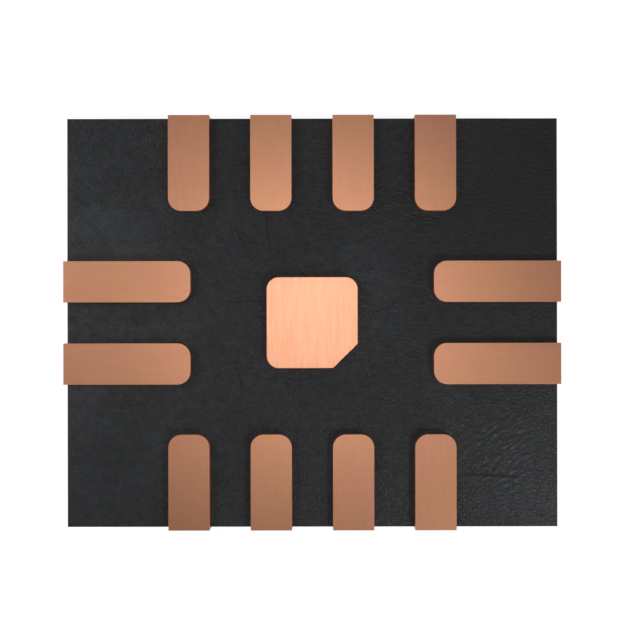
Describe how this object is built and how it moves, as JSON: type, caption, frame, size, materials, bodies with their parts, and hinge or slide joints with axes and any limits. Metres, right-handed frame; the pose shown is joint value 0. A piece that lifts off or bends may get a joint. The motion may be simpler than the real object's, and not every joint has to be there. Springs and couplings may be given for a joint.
{
  "type": "integrated circuit",
  "caption": "Leadless integrated circuit: a flat rectangular moulding with copper terminals let in along every side and a small square central pad with a cut corner.",
  "frame": {"origin": "centre of the flat marked face, on which the part lies", "axes": "+X along the long sides, +Y along the short sides, +Z out of the face with the terminals; the pad's cut corner and terminal 1 are towards +X and -Y"},
  "size_m": [0.003, 0.0026, 0.0009],
  "materials": {
    "mould": "charcoal epoxy moulding compound, finely rippled",
    "pad_copper": "brushed bare copper",
    "lead_copper": "brushed bare copper",
    "adhesive": "silver-filled epoxy",
    "silicon": "polished silicon",
    "gold": "bright gold wire"
  },
  "bodies": {
    "root": {"mould_body": "mould", "die_paddle": "pad_copper", "die_attach": "adhesive", "silicon_die": "silicon", "lead_01": "lead_copper", "lead_02": "lead_copper", "lead_03": "lead_copper", "lead_04": "lead_copper", "lead_05": "lead_copper", "lead_06": "lead_copper", "lead_07": "lead_copper", "lead_08": "lead_copper", "lead_09": "lead_copper", "lead_10": "lead_copper", "lead_11": "lead_copper", "lead_12": "lead_copper", "bond_wire_01": "gold", "bond_wire_02": "gold", "bond_wire_03": "gold", "bond_wire_04": "gold", "bond_wire_05": "gold", "bond_wire_06": "gold", "bond_wire_07": "gold", "bond_wire_08": "gold", "bond_wire_09": "gold", "bond_wire_10": "gold", "bond_wire_11": "gold", "bond_wire_12": "gold"}
  },
  "joints": []
}
